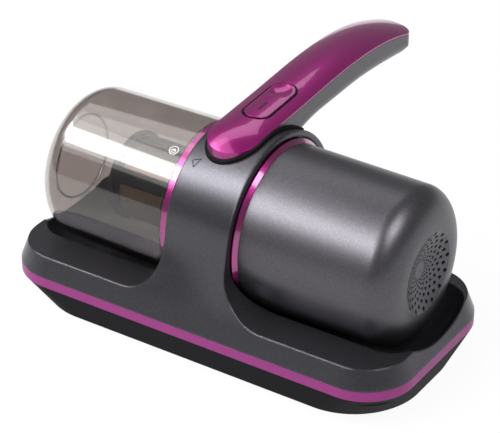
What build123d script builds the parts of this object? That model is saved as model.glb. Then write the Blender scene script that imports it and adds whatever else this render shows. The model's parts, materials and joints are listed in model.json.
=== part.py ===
from build123d import *
import os
from math import cos, radians, sin, sqrt, tan

# Hand-held cleaner for beds and carpets. X runs along the cylinder, towards the exhaust end,
# -Y is the front, +Z is up, and the origin is the middle of the base on the floor. Millimetres.

# ---- Base ----
base_length = 250.0
half_length = base_length / 2
base_front_y = -65.25
base_rear_y = 53.0
corner_radius = 29.5
band_top_z = 24.5
band_height = 6.05
band_thickness = 1.9
skirt_bottom_z = 0.5
skirt_lean = 6.7            # how far the skirt draws in from the band down to the floor
skirt_corner_radius = 42.0
skirt_floor = 2.2
flank_angle = 20.6          # lean of the flanks above the band
rim_z = 35.7                # shelf around each trough
shell_wall = 2.2
seam = 0.15                 # gap between fixed mouldings
rim_overlap = 3.0           # how far the skirt's inner rim stands inside the shell
moving_gap = 0.3            # between faces that move past each other

# ---- Cylinder, dust cup and motor housing ----
axis_z = 65.3
collar_left_x = -24.0
collar_right_x = 19.0
collar_left_radius = 46.4
collar_right_radius = 52.3
collar_left_foot_z = 70.5   # height where the collar leaves its circle, at the front
collar_right_foot_z = 77.0
collar_left_rear_foot_z = 56.0
collar_right_rear_foot_z = 47.0
recess_depth = 3.2          # how far the right ring stands inside the collar
pocket_left_corner = 20.0
pocket_right_corner = 27.0
trough_radius = 48.9
trough_end_x = half_length - 2.5
trough_end_radius = 34.6
trough_shoulder_x = half_length - 24.0
crest_round = 2.4
crest_fade_height = 13.2    # above the axis, where the crest's round fades out
crest_fade_step = 0.05
notch_y = -5.5              # dip in each end rim
notch_radius = 52.8
notch_bottom_z = 30.0
notch_x = half_length - 15.0

ring_width = 3.8
left_ring_radius = 45.9
left_ring_bore = 42.6
right_ring_x = 22.1         # right edge of the right ring
right_ring_width = 3.6
right_ring_radius = 47.9
right_ring_bevel = 2.0

cup_mouth_radius = 45.1
cup_radius = 44.3
cup_end_x = -(half_length - 9.6)
cup_shoulder_length = 15.2
cup_shoulder_depth = 16.7
cup_wall = 2.0
cup_gap = 0.3               # between the cup's mouth and the left ring
cup_spigot_radius = 42.0
cup_seam_radius = 24.7
cup_pull = 5.0              # how far the cup draws off
cup_twist = 25.0            # degrees the cup turns
lug_count = 3
lug_angle = 10.0
lug_height = 1.5

housing_mouth_radius = 45.75
housing_radius = 44.9
housing_end_x = half_length - 13.0
housing_shoulder_length = 15.4
housing_wall = 2.0
housing_neck_radius = 44.2
housing_neck_x = 6.0
grille_radius = 24.7
grille_x = housing_end_x
grille_thickness = 1.6
grille_dish_radius = grille_radius - 1.9
grille_dish_depth = 5.5
grille_rings = 11
grille_holes_per_ring = 15
grille_first_radius = 5.2
grille_last_radius = 21.6
grille_first_hole = 0.42
grille_last_hole = 1.15
grille_gap = 0.03
housing_shoulder_depth = housing_radius - grille_radius - grille_gap

# ---- Filter ----
filter_radius = 24.0
filter_flange_radius = 25.6
filter_flange_x = -77.7
filter_flange_thickness = 3.4
filter_windows = 4
filter_bar = 9.0
filter_turn = 62.0          # degrees from the top to the middle of one bar

# ---- Handle ----
handle_x = -3.0
handle_half_width = 15.4
handle_front_y = -24.4
handle_back_y = 157.0
handle_back_corner = 9.0
crown_height = 4.1
cover_lip = 1.0
handle_wall = 2.0
gasket_thickness = 1.6
gasket_margin = 1.3
button_y = 24.5
button_half_length = 19.4
button_half_width = 7.6
button_gap = 0.3
bezel_width = 1.1
button_travel = 1.2

# ---- Brush ----
brush_y = -40.0
brush_z = 12.5
brush_radius = 12.0
bristle_tip_radius = 11.5
brush_core_radius = 7.5
brush_left_x = -(half_length - 39.0)
brush_right_x = half_length - 55.0
brush_gap = 0.8
chamber_wall = 1.4
roller_shaft_radius = 1.5
bristle_rows = 4
roller_pulley_radius = 6.4
motor_pulley_radius = 3.2
belt_x = brush_right_x + 7.5
belt_width = 3.6
belt_thickness = 1.1
belt_gap = 0.3
brush_motor_y = -46.0
brush_motor_z = 24.8
brush_motor_radius = 7.0
brush_motor_length = 24.0

# ---- Lamp, wheels and switch in the sole ----
lamp_y = 13.0
lamp_radius = 3.0
lamp_z = 7.4
lamp_half_length = half_length - 67.0
wheel_y = 28.0
wheel_radius = 8.0
wheel_width = 9.0
axle_radius = 1.5
plunger_y = 30.0
plunger_radius = 3.6
plunger_travel = 2.5

# ---- Fan ----
fan_radius = 33.0
fan_cover_radius = 37.5
fan_inlet_radius = 12.0
fan_motor_radius = 20.0
fan_motor_length = 40.0
fan_shaft_radius = 2.0

cell_radius = 9.2
cell_length = 65.0
cell_y = 35.5
cell_start_x = 15.0
wheel_x = cell_start_x + cell_length + 11.5
cradle_half_width = 7.5

# ---- Values worked out from the sizes above ----
floor_top = skirt_bottom_z + skirt_floor
rim_top = band_top_z + rim_overlap
rim_wall = 1.6
rim_root = 5.0
tub_end_x = half_length - 4.4
tub_post_top_z = 22.0
screw_reach = 2.6
handle_screw_radius = 1.1
gasket_hole_y = -2.0
ear_half = 1.6
sole_bars = 7
felt_half_length = half_length - 47.0
felt_width = 6.0
felt_rows = (-57.0 + felt_width / 2 + 0.6, 0.0)
window_half_length = lamp_half_length + 1
window_y0 = lamp_y - 7.5
window_y1 = lamp_y + 7.5
reflector_top_z = 12.4
bush_radius = 3.0
bristle_root = 5.2
bristle_thickness = 2.2
bristle_turn = 150.0
brush_steps = 10
bracket_thickness = 1.2
bracket_x1 = belt_x + belt_width / 2 + 4.4
bracket_top_z = 31.3
guide_top_z = 8.0
plunger_top_z = 14.0
duct_wall = 1.4
duct_x0 = -20.0
duct_x1 = -5.0
duct_low_y0 = brush_y - 6.0
duct_low_y1 = brush_y + 6.0
inlet_y0 = -33.6
inlet_y1 = -21.0
inlet_z0 = 38.6
inlet_z1 = 51.0
bulkhead_x0 = -22.4
bulkhead_x1 = duct_x0
bulkhead_radius = 42.8
spigot_radius = 19.0
spigot_length = 6.0
left_ring_x1 = collar_left_x
left_ring_x0 = left_ring_x1 - ring_width
cup_mouth_x = left_ring_x0 - cup_gap
cup_spigot_x = bulkhead_x0 - 1.3
filter_mouth_x = bulkhead_x0 - 0.3
pleats = 36
foam_x0 = grille_x - 9.0
fan_cover_x0 = duct_x1 + 0.5
fan_back_x = fan_cover_x0 + 13.0
fan_motor_x0 = fan_cover_x0 + 21.0
lower_round = 8.0
gasket_back_y = 33.0
handle_boss_y = (-10.0, 6.0)
board_top_z = axis_z + 50.3
board_switch_y = 29.0
switch_top_z = board_top_z + 3.0
dimple_back = 9.8
handle_slant = 14.5
dimple_radius = 18.2
dimple_bottom_z = axis_z + 57.3
cell_z = floor_top + 1.0 + cell_radius
board_x0 = -16.0
board_x1 = 4.5
board_y = 38.0
board_z0 = 23.5
jack_face_x = -(half_length - 4.4)
jack_length = 11.0
jack_y = 12.0
jack_z = 9.6
jack_radius = 4.2
jack_bore_radius = 2.75
screw_radius = 1.4
screw_head_radius = 2.7
screw_head_height = 1.5
screw_places = ((-(half_length - 19), -6), (half_length - 19, 10), (-(half_length - 27), -24),
                (half_length - 27, -24), (-30, -18), (30, -18))
boss_radius = 3.6
boss_top_z = 11.0
band_bottom_z = band_top_z - band_height
lean = tan(radians(flank_angle))


# ---------- small helpers ----------
def block(x0, x1, y0, y1, z0, z1):
    """Box between two corners."""
    return Pos((x0 + x1) / 2, (y0 + y1) / 2, (z0 + z1) / 2) * Box(x1 - x0, y1 - y0, z1 - z0)


def bar_x(radius, x0, x1, y, z):
    """Round bar along X."""
    return Pos((x0 + x1) / 2, y, z) * Rot(0, 90, 0) * Cylinder(radius, x1 - x0)


def bar_z(radius, z0, z1, x, y):
    """Round bar along Z."""
    return Pos(x, y, (z0 + z1) / 2) * Cylinder(radius, z1 - z0)


def tube_x(outer, inner, x0, x1, y=0.0, z=axis_z):
    """Round tube along X."""
    return bar_x(outer, x0, x1, y, z) - bar_x(inner, x0 - 1, x1 + 1, y, z)


def turned(edges):
    """Solid turned about the cylinder's axis from a closed profile of (x, radius)."""
    return Pos(0, 0, axis_z) * revolve(make_face(edges), Axis.X)


def rounded_slab(inset, radius, z):
    """Base outline at one height, drawn in by an inset."""
    width = base_length - 2 * inset
    depth = base_rear_y - base_front_y - 2 * inset
    return Pos(0, (base_rear_y + base_front_y) / 2, z) * RectangleRounded(width, depth, radius)


def outline_block(inset, z0, z1):
    """Straight-sided block with the base outline."""
    return extrude(rounded_slab(inset, corner_radius - inset, z0), z1 - z0)


# ---------- body shell ----------
def flank_block(inset, top_z):
    """Block over the band whose four flanks lean inwards."""
    low = rounded_slab(inset, corner_radius - inset, band_top_z)
    top_inset = inset + (top_z - band_top_z) * lean
    high = rounded_slab(top_inset, corner_radius - top_inset, top_z)
    return loft([low, high], ruled=True)


def saddle_section(x, radius, foot_z, rear_foot_z, inset):
    """Cross-section of the collar and its flanks at one X."""
    r = radius - inset
    climb = (rim_z - band_top_z) * lean
    front, rear = base_front_y + inset, base_rear_y - inset
    foot = Vector(-sqrt(r ** 2 - (axis_z - foot_z) ** 2), foot_z)
    rear_foot = Vector(sqrt(r ** 2 - (axis_z - rear_foot_z) ** 2), rear_foot_z)
    tilt = radians(flank_angle)
    over = ThreePointArc(rear_foot, (0, axis_z + r), foot)
    edges = [Line((rear, band_top_z), (rear - climb, rim_z)),
             Spline((rear - climb, rim_z), rear_foot, tangents=((-sin(tilt), cos(tilt)), over % 0)),
             over,
             Spline(foot, (front + climb, rim_z), tangents=(over % 1, (-sin(tilt), -cos(tilt)))),
             Line((front + climb, rim_z), (front, band_top_z)),
             Line((front, band_top_z), (rear, band_top_z))]
    return Plane.YZ.offset(x) * make_face(edges)


def saddle(inset):
    """Collar with the two feet that run out under the pockets."""
    left = saddle_section(collar_left_x, collar_left_radius, collar_left_foot_z,
                          collar_left_rear_foot_z, inset)
    right = saddle_section(collar_right_x, collar_right_radius, collar_right_foot_z,
                           collar_right_rear_foot_z, inset)
    body = loft([left, right], ruled=True)
    body += extrude(left, -pocket_left_corner - 4)
    body += extrude(right, pocket_right_corner + 4)
    return body


def pocket(side, grow):
    """Space cut out over one shelf, rounded where it climbs the collar."""
    wall_x = collar_right_x - grow if side > 0 else -collar_left_x - grow
    corner = (pocket_right_corner if side > 0 else pocket_left_corner) + grow
    floor_z = rim_z - grow
    arc = TangentArc((wall_x + corner, floor_z), (wall_x, floor_z + corner), tangent=(-1, 0))
    far = base_length
    top = 2 * axis_z
    side_lines = Polyline((wall_x, floor_z + corner), (wall_x, top), (far, top), (far, floor_z),
                          (wall_x + corner, floor_z))
    shape = extrude(Plane.XZ * make_face([arc, side_lines]), base_length, both=True)
    return shape if side > 0 else mirror(shape, Plane.YZ)


def trough(side, grow):
    """Round trough under the cylinder, closing in towards the end of the base."""
    start = (collar_right_x - recess_depth if side > 0 else -collar_left_x) - grow
    radius = trough_radius + grow
    end_x = trough_end_x + grow
    end_radius = trough_end_radius + grow
    middle = (end_x - 5.6, radius - 5.0)
    arc = ThreePointArc((trough_shoulder_x, radius), middle, (end_x, end_radius))
    rest = Polyline((end_x, end_radius), (base_length, end_radius), (base_length, 0), (start, 0),
                    (start, radius), (trough_shoulder_x, radius))
    shape = turned([arc, rest])
    return shape if side > 0 else mirror(shape, Plane.YZ)


def notch(side, grow):
    """Round dip in the rim at one end."""
    x0, x1 = sorted((side * notch_x, side * base_length))
    return bar_x(notch_radius + grow, x0, x1, notch_y, notch_bottom_z + notch_radius)


def shell_form(inset, grow):
    """Outer or inner form of the body shell."""
    form = flank_block(inset, rim_z) + saddle(inset)
    for side in (-1, 1):
        form -= pocket(side, grow)
        form -= trough(side, grow)
        form -= notch(side, grow)
    return form


def trough_tub(side):
    """Lower part of one trough, hanging below the band's top edge."""
    low = block(-tub_end_x, tub_end_x, -trough_radius, trough_radius, 0, band_top_z)
    tub = trough(side, shell_wall) & low
    return tub - trough(side, 0)


def shell_posts():
    """Posts under the troughs that take the base screws."""
    posts = []
    for x, y in screw_places:
        post = bar_z(boss_radius - 0.4, boss_top_z + seam, tub_post_top_z, x, y)
        posts.append(post - bar_z(screw_radius + 0.05, 0, boss_top_z + screw_reach + 0.5, x, y))
    return posts


def body_shell():
    """Upper casing with the collar, hollow underneath."""
    shell = shell_form(0, 0) - crest_trim() - shell_form(shell_wall, shell_wall)
    for side in (-1, 1):
        shell += trough_tub(side)
    for post in shell_posts():
        shell += post - trough(1 if post.center().X > 0 else -1, shell_wall)
    recess_x = collar_right_x - recess_depth
    shell -= bar_x(left_ring_bore + 0.4, collar_left_x - 1, collar_left_x + shell_wall + 1, 0, axis_z)
    shell -= bar_x(housing_neck_radius + seam, recess_x - shell_wall - 1, recess_x + 1, 0, axis_z)
    for y in handle_boss_y:
        shell -= bar_z(handle_screw_radius + seam, axis_z, axis_z + 80, handle_x, y)
    return shell


def crest_trim():
    """Ring that rounds the collar's right crest and fades out down its sides."""
    top_r = collar_right_radius - crest_round
    fade_r = sqrt(collar_right_radius ** 2 - crest_fade_height ** 2) - crest_fade_step
    drop = (fade_r ** 2 + crest_fade_height ** 2 - top_r ** 2) / (2 * (top_r - crest_fade_height))
    r = top_r + drop + crest_round
    x = collar_right_x
    corner = [(x - crest_round, r), (x + 1, r), (x + 1, r - crest_round), (x, r - crest_round)]
    sides = [Line(*corner[i:i + 2]) for i in range(3)]
    profile = make_face(sides + [RadiusArc(corner[3], corner[0], -crest_round)])
    centre_z = axis_z - drop
    placed = Plane(origin=(0, 0, centre_z), x_dir=(1, 0, 0), z_dir=(0, -1, 0)) * profile
    ring = revolve(placed, Axis((0, 0, centre_z), (1, 0, 0)), 360)
    return ring & block(0, 2 * x, -2 * r, 2 * r, axis_z + crest_fade_height, axis_z + 2 * r)


# ---------- skirt and band ----------
def skirt_outline(inset, z):
    """Skirt outline at one height."""
    share = (band_bottom_z - z) / band_bottom_z
    radius = corner_radius + (skirt_corner_radius - corner_radius) * share
    return rounded_slab(inset + skirt_lean * share, radius - inset, z)


def skirt_form(inset, z0, z1):
    """Tapered block between two heights of the skirt."""
    return loft([skirt_outline(inset, z0), skirt_outline(inset, z1)], ruled=True)


def wheel_wells():
    """Slots in the floor for the wheels."""
    cut = None
    for side in (-1, 1):
        x = side * wheel_x
        slot = block(x - wheel_width / 2 - 1.5, x + wheel_width / 2 + 1.5, wheel_y - wheel_radius - 1.5,
                     wheel_y + wheel_radius + 1.5, -1, floor_top + 1)
        cut = slot if cut is None else cut + slot
    return cut


def mouth(grow):
    """Brush mouth through the floor."""
    half = brush_radius + brush_gap + grow
    return block(brush_left_x - 2 - grow, brush_right_x + 2 + grow, brush_y - half, brush_y + half,
                 -1, floor_top + 1)


def base_skirt():
    """Black lower casing: tapered wall, floor, inner rim, wheel ears and bosses."""
    shell = skirt_form(0, skirt_bottom_z, band_bottom_z)
    shell = fillet(shell.faces().sort_by(Axis.Z)[0].edges(), 1.6)
    shell -= skirt_form(shell_wall, floor_top, band_bottom_z + 0.01)
    rim_inset = shell_wall + seam + rim_overlap * lean
    rim = outline_block(rim_inset, band_bottom_z - rim_root, rim_top)
    rim -= outline_block(rim_inset + rim_wall, 0, rim_top + 1)
    for side in (-1, 1):
        rim -= trough(side, shell_wall + seam)
        rim -= notch(side, shell_wall + seam)
    shell += rim
    shell -= mouth(0)
    shell -= block(-window_half_length, window_half_length, window_y0, window_y1, -1, floor_top + 1)
    shell -= wheel_wells()
    shell -= bar_z(plunger_radius + moving_gap, -1, floor_top + 1, 0, plunger_y)
    shell += tube_z(plunger_radius + 1.6, plunger_radius + moving_gap, floor_top - 0.01, guide_top_z, 0,
                    plunger_y)
    for side in (-1, 1):
        for edge in (-1, 1):
            x = side * wheel_x + edge * (wheel_width / 2 + 2.6)
            shell += block(x - ear_half, x + ear_half, wheel_y - 4, wheel_y + 4, floor_top - 0.01,
                           wheel_radius + 3.2)
        shell -= bar_x(axle_radius + 0.02, side * wheel_x - 9, side * wheel_x + 9, wheel_y, wheel_radius)
    for x, y in screw_places:
        shell += bar_z(boss_radius, floor_top - 0.01, boss_top_z, x, y)
        shell -= bar_z(screw_radius + 0.2, -1, boss_top_z + 1, x, y)
        shell -= bar_z(screw_head_radius + 0.3, -1, skirt_bottom_z + screw_head_height + 0.2, x, y)
    shell -= jack_cut(0.15)
    return shell


def tube_z(outer, inner, z0, z1, x, y):
    """Round tube along Z."""
    return bar_z(outer, z0, z1, x, y) - bar_z(inner, z0 - 1, z1 + 1, x, y)


def jack_cut(gap):
    """Round hole through the left end of the skirt for the charging jack."""
    return bar_x(jack_radius + gap, -half_length - 1, jack_face_x + jack_length, jack_y, jack_z)


def charging_jack():
    """Round socket with a centre pin in the left end of the skirt."""
    back_x = jack_face_x + jack_length
    body = bar_x(jack_radius, jack_face_x, back_x, jack_y, jack_z)
    body -= bar_x(jack_bore_radius, jack_face_x - 1, jack_face_x + 8, jack_y, jack_z)
    return body + bar_x(0.8, jack_face_x + 1, jack_face_x + 9, jack_y, jack_z)


def trim_band():
    """Coloured band between the skirt and the shell."""
    ring = outline_block(0, band_bottom_z, band_top_z)
    ring -= outline_block(band_thickness, band_bottom_z - 1, band_top_z + 1)
    return ring


def sole_plate():
    """Removable frame round the brush mouth with bars across it."""
    half = brush_radius + brush_gap
    plate = block(brush_left_x - 1.8, brush_right_x + 1.8, brush_y - half + 0.2, brush_y + half - 0.2,
                  skirt_bottom_z, floor_top)
    opening = half - 4.5
    plate -= block(brush_left_x + 2, brush_right_x - 2, brush_y - opening, brush_y + opening, -1, 9)
    plate -= bar_x(brush_radius + brush_gap, brush_left_x - 1, brush_right_x + 1, brush_y, brush_z)
    span = brush_right_x - brush_left_x
    for i in range(1, sole_bars + 1):
        x = brush_left_x + span * i / (sole_bars + 1)
        plate += block(x - 0.6, x + 0.6, brush_y - opening - 0.1, brush_y + opening + 0.1,
                       skirt_bottom_z, skirt_bottom_z + 0.3)
    return plate


def felt_strips():
    """Flocked glide strips that carry the base."""
    strips = []
    for y in felt_rows:
        strips.append(block(-felt_half_length, felt_half_length, y - felt_width / 2, y + felt_width / 2,
                            0, skirt_bottom_z))
    return Compound(children=strips)


# ---------- brush ----------
def brush_chamber():
    """Arched housing over the brush with its end walls and the outlet on top."""
    inner = brush_radius + brush_gap
    outer = inner + chamber_wall
    x0 = brush_left_x - 2
    x1 = brush_right_x + 2
    def arch(r, a, b, z0):
        return bar_x(r, a, b, brush_y, brush_z) + block(a, b, brush_y - r, brush_y + r, z0, brush_z)
    body = arch(outer, x0 - chamber_wall, x1 + chamber_wall, floor_top)
    body -= block(x0 - 9, x1 + 9, brush_y - outer - 1, brush_y + outer + 1, -20, floor_top)
    body -= arch(inner, x0, x1, floor_top - 1)
    body -= bar_x(bush_radius + 0.02, x0 - 9, x1 + 9, brush_y, brush_z)
    body -= block(duct_x0 + duct_wall, duct_x1 - duct_wall, duct_low_y0 + duct_wall,
                  duct_low_y1 - duct_wall, brush_z, brush_z + outer + 5)
    return body


def roller_bushes():
    """Plain bushes in both end walls of the chamber."""
    x0 = brush_left_x - 2 - chamber_wall
    x1 = brush_right_x + 2
    bushes = []
    for x in (x0, x1):
        bushes.append(tube_x(bush_radius, roller_shaft_radius + 0.05, x - 0.2, x + chamber_wall + 0.2,
                             brush_y, brush_z))
    return Compound(children=bushes)


def roller_shaft():
    """Steel shaft through the roller and its pulley."""
    return bar_x(roller_shaft_radius, brush_left_x - 5, belt_x + belt_width / 2 + 1.6, brush_y, brush_z)


def helix_blades(radius_in, radius_out, thickness, count, x0, x1, turn):
    """Twisted radial strips on the roller, each as a stack of short straight steps joined by a loft."""
    blades = []
    for k in range(count):
        faces = []
        for i in range(brush_steps + 1):
            share = i / brush_steps
            angle = 360 * k / count + turn * share
            x = x0 + (x1 - x0) * share
            flat = Pos(brush_y, brush_z) * Rot(0, 0, angle) * Pos((radius_in + radius_out) / 2, 0)
            flat *= Rectangle(radius_out - radius_in, thickness)
            faces.append(Plane.YZ.offset(x) * flat)
        blades.append(loft(faces, ruled=True))
    return blades


def brush_core():
    """Roller body with grooves for the bristle strips."""
    core = tube_x(brush_core_radius, roller_shaft_radius, brush_left_x, brush_right_x, brush_y, brush_z)
    for strip in helix_blades(bristle_root, brush_core_radius + 1, bristle_thickness, bristle_rows,
                              brush_left_x + 4, brush_right_x - 4, bristle_turn):
        core -= strip
    return core


def bristle_strips():
    """Twisted rows of bristles set in the roller."""
    strips = helix_blades(bristle_root, bristle_tip_radius, bristle_thickness, bristle_rows,
                          brush_left_x + 4, brush_right_x - 4, bristle_turn)
    return Compound(children=strips)


def pulley(radius, bore, y, z):
    """Flanged belt pulley."""
    half = belt_width / 2 + 0.3
    body = bar_x(radius, belt_x - half, belt_x + half, y, z)
    body += bar_x(radius + 0.9, belt_x - half - 0.7, belt_x - half, y, z)
    body += bar_x(radius + 0.9, belt_x + half, belt_x + half + 0.7, y, z)
    return body - bar_x(bore, belt_x - 9, belt_x + 9, y, z)


def belt_loop(grow, x0, x1):
    """Outline of the two pulleys joined by straight runs, as a solid."""
    big = roller_pulley_radius + grow
    small = motor_pulley_radius + grow
    dy = brush_motor_y - brush_y
    dz = brush_motor_z - brush_z
    span = sqrt(dy ** 2 + dz ** 2)
    ratio = (big - small) / span
    side = sqrt(1 - ratio ** 2)
    points = []
    for sign in (1, -1):
        ny = dy / span * ratio - sign * dz / span * side
        nz = dz / span * ratio + sign * dy / span * side
        pair = [(brush_y + big * ny, brush_z + big * nz),
                (brush_motor_y + small * ny, brush_motor_z + small * nz)]
        points += pair if sign > 0 else pair[::-1]
    web = extrude(Plane.YZ.offset(x0) * make_face(Polyline(*points, close=True)), x1 - x0)
    loop = bar_x(big, x0, x1, brush_y, brush_z) + bar_x(small, x0, x1, brush_motor_y, brush_motor_z)
    return loop + web


def drive_belt():
    """Flat belt round both pulleys."""
    x0 = belt_x - belt_width / 2
    x1 = belt_x + belt_width / 2
    return belt_loop(belt_gap + belt_thickness, x0, x1) - belt_loop(belt_gap, x0 - 1, x1 + 1)


def brush_motor():
    """Small motor can with a front boss and two tags."""
    x0 = bracket_x1
    x1 = x0 + brush_motor_length
    body = bar_x(brush_motor_radius, x0, x1, brush_motor_y, brush_motor_z)
    body = fillet(body.edges().filter_by(GeomType.CIRCLE), 0.8)
    body += bar_x(2.4, x0 - bracket_thickness, x0, brush_motor_y, brush_motor_z)
    body += bar_x(2.4, x1, x1 + 1.2, brush_motor_y, brush_motor_z)
    return body - bar_x(1.0 + 0.05, x0 - 9, x0 + 6, brush_motor_y, brush_motor_z)


def motor_bracket():
    """Folded plate that carries the brush motor on the floor."""
    x0 = bracket_x1 - bracket_thickness
    plate = block(x0, bracket_x1, brush_motor_y - 7.5, brush_motor_y + 7.5, floor_top, bracket_top_z)
    plate += block(x0, bracket_x1 + 9, brush_motor_y - 7.5, brush_motor_y + 7.5, floor_top,
                   floor_top + bracket_thickness)
    return plate - bar_x(2.4 + 0.05, x0 - 1, bracket_x1 + 1, brush_motor_y, brush_motor_z)


def motor_pulley():
    """Small pulley with the motor's shaft."""
    body = pulley(motor_pulley_radius, 1.0, brush_motor_y, brush_motor_z)
    return body + bar_x(1.0, belt_x - 3.2, bracket_x1 + 5, brush_motor_y, brush_motor_z)


# ---------- lamp, wheels, switch ----------
def lamp_window():
    """Clear window in the floor under the lamp."""
    pane = block(-window_half_length + seam, window_half_length - seam, window_y0 + seam,
                 window_y1 - seam, skirt_bottom_z + 0.4, floor_top)
    lip = block(-window_half_length - 1.5, window_half_length + 1.5, window_y0 - 1.5, window_y1 + 1.5,
                floor_top, floor_top + 0.8)
    return pane + lip


def lamp_reflector():
    """Bright channel over the lamp."""
    z0 = floor_top + 0.8
    outer = block(-lamp_half_length - 3, lamp_half_length + 3, window_y0, window_y1, z0, reflector_top_z)
    inner = block(-lamp_half_length - 9, lamp_half_length + 9, window_y0 + 0.6, window_y1 - 0.6,
                  z0 - 1, reflector_top_z - 0.6)
    return outer - inner


def lamp_tube():
    """Lamp tube with rounded ends."""
    tube = bar_x(lamp_radius, -lamp_half_length, lamp_half_length, lamp_y, lamp_z)
    return fillet(tube.edges().filter_by(GeomType.CIRCLE), 1.2)


def lamp_holders():
    """Sockets at both ends of the lamp."""
    holders = []
    z0 = floor_top + 0.8
    for side in (-1, 1):
        x0, x1 = sorted((side * (lamp_half_length - 3), side * (lamp_half_length + 2.4)))
        cup = block(x0, x1, window_y0 + 0.9, window_y1 - 0.9, z0, reflector_top_z - 0.9)
        holders.append(cup - bar_x(lamp_radius + 0.1, x0 - 1 if side > 0 else x0 + 2.4,
                                   x1 - 2.4 if side > 0 else x1 + 1, lamp_y, lamp_z))
    return Compound(children=holders)


def wheel(side):
    """Rear wheel with a soft round tread."""
    x = side * wheel_x
    body = bar_x(wheel_radius, x - wheel_width / 2, x + wheel_width / 2, wheel_y, wheel_radius)
    body = fillet(body.edges().filter_by(GeomType.CIRCLE), 1.2)
    for face in (-1, 1):
        edge = x + face * wheel_width / 2
        body -= tube_x(wheel_radius - 2.2, 3.0, min(edge, edge - face), max(edge, edge - face),
                       wheel_y, wheel_radius)
    return body - bar_x(axle_radius + 0.05, x - 9, x + 9, wheel_y, wheel_radius)


def wheel_axles():
    """Steel pins through the wheels and their ears."""
    half = wheel_width / 2 + 2.6 + ear_half
    return Compound(children=[bar_x(axle_radius, side * wheel_x - half, side * wheel_x + half,
                                    wheel_y, wheel_radius) for side in (-1, 1)])


def safety_plunger():
    """Foot that drops when the base is lifted off the bed."""
    body = bar_z(plunger_radius, 0, plunger_top_z, 0, plunger_y)
    body = fillet(body.edges().sort_by(Axis.Z)[0], 1.0)
    body += bar_z(plunger_radius + 1.2, guide_top_z + plunger_travel + 0.2, plunger_top_z, 0, plunger_y)
    return body


def safety_switch():
    """Micro switch over the plunger."""
    z0 = plunger_top_z + 0.3
    body = block(-10, 10, plunger_y - 3.2, plunger_y + 3.2, z0 + 1.2, z0 + 11.2)
    body += bar_z(1.2, z0, z0 + 1.3, 0, plunger_y)
    for x in (-7, 0, 7):
        body += block(x - 0.3, x + 0.3, plunger_y - 1.2, plunger_y + 1.2, z0 + 11.2, z0 + 14.6)
    return body


def switch_post():
    """Posts from the floor that hold the safety switch and the main board."""
    z0 = plunger_top_z + 1.5
    posts = []
    for side in (-1, 1):
        x0, x1 = sorted((side * 10, side * 12.5))
        posts.append(block(x0, x1, plunger_y - 3.2, board_y, floor_top, z0 + 10))
    return Compound(children=posts)


# ---------- air path ----------
def duct_skin(grow, z_bottom):
    """One skin of the suction duct: a leaning leg and a head that opens to the left."""
    x0 = duct_x0 + grow
    x1 = duct_x1 - grow
    def face(y0, y1, z):
        return Pos((x0 + x1) / 2, (y0 + y1) / 2, z) * Rectangle(x1 - x0, y1 - y0)
    low = face(duct_low_y0 + grow, duct_low_y1 - grow, z_bottom)
    bend = face(duct_low_y0 + grow, duct_low_y1 - grow, brush_z + brush_radius + 3)
    high = face(inlet_y0 + grow, inlet_y1 - grow, inlet_z0)
    top = block(x0, x1, inlet_y0 + grow, inlet_y1 - grow, inlet_z0, inlet_z1 - grow)
    return loft([low, bend], ruled=True) + loft([bend, high], ruled=True) + top


def suction_duct():
    """Duct from the brush chamber up to the cup inlet."""
    chamber_top = brush_radius + brush_gap + chamber_wall
    duct = duct_skin(0, brush_z + 6)
    duct -= duct_skin(duct_wall, brush_z + 5)
    duct -= block(duct_x0 - 1, duct_x0 + duct_wall + 1, inlet_y0 + duct_wall, inlet_y1 - duct_wall,
                  inlet_z0 + duct_wall, inlet_z1 - duct_wall)
    duct -= bar_x(chamber_top, duct_x0 - 5, duct_x1 + 5, brush_y, brush_z)
    return duct


def bulkhead():
    """Plate at the cup's mouth with the dirty-air inlet and the clean-air spigot."""
    plate = tube_x(bulkhead_radius, spigot_radius - 1.8, bulkhead_x0, bulkhead_x1)
    plate += tube_x(spigot_radius, spigot_radius - 1.8, bulkhead_x0 - spigot_length, bulkhead_x0 + 0.01)
    plate -= block(bulkhead_x0 - 1, bulkhead_x1 + 1, inlet_y0 + duct_wall, inlet_y1 - duct_wall,
                   inlet_z0 + duct_wall, inlet_z1 - duct_wall)
    return plate


def cup_seal():
    """Rubber ring between the cup's spigot and the bulkhead."""
    return tube_x(cup_spigot_radius - 0.1, cup_spigot_radius - cup_wall - 0.3, bulkhead_x0 - 1.0,
                  bulkhead_x0)


def ring_pockets():
    """Pockets inside the left ring where the cup's lugs turn."""
    sweep_angle = cup_twist + lug_angle + 4
    cut = None
    for k in range(lug_count):
        start = 360 / lug_count * k - lug_angle / 2 - 2
        wedge = sector(cup_spigot_radius - 1, cup_spigot_radius + lug_height + 0.4, start,
                       start + sweep_angle, left_ring_x0 - 1, left_ring_x1 + 1)
        cut = wedge if cut is None else cut + wedge
    return cut


def sector(r0, r1, a0, a1, x0, x1):
    """Piece of a tube along X between two angles, measured from the top towards the front."""
    def at(r, a):
        return (-r * sin(radians(a)), r * cos(radians(a)))
    am = (a0 + a1) / 2
    outer = ThreePointArc(at(r1, a0), at(r1, am), at(r1, a1))
    inner = ThreePointArc(at(r0, a1), at(r0, am), at(r0, a0))
    face = make_face([outer, Line(at(r1, a1), at(r0, a1)), inner, Line(at(r0, a0), at(r1, a0))])
    return Pos(0, 0, axis_z) * extrude(Plane.YZ.offset(x0) * face, x1 - x0)


def left_ring():
    """Coloured ring between the cup and the collar."""
    ring = tube_x(left_ring_radius, left_ring_bore, left_ring_x0, left_ring_x1)
    return ring - ring_pockets()


def right_ring():
    """Coloured ring round the mouth of the motor housing, bevelled towards the housing."""
    x0 = right_ring_x - right_ring_width
    bore = housing_neck_radius + seam
    low = housing_mouth_radius + 0.1
    edges = Polyline((x0, bore), (x0, right_ring_radius), (x0 + 1.4, right_ring_radius),
                     (right_ring_x, low), (right_ring_x, bore), (x0, bore))
    return turned(edges)


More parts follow.
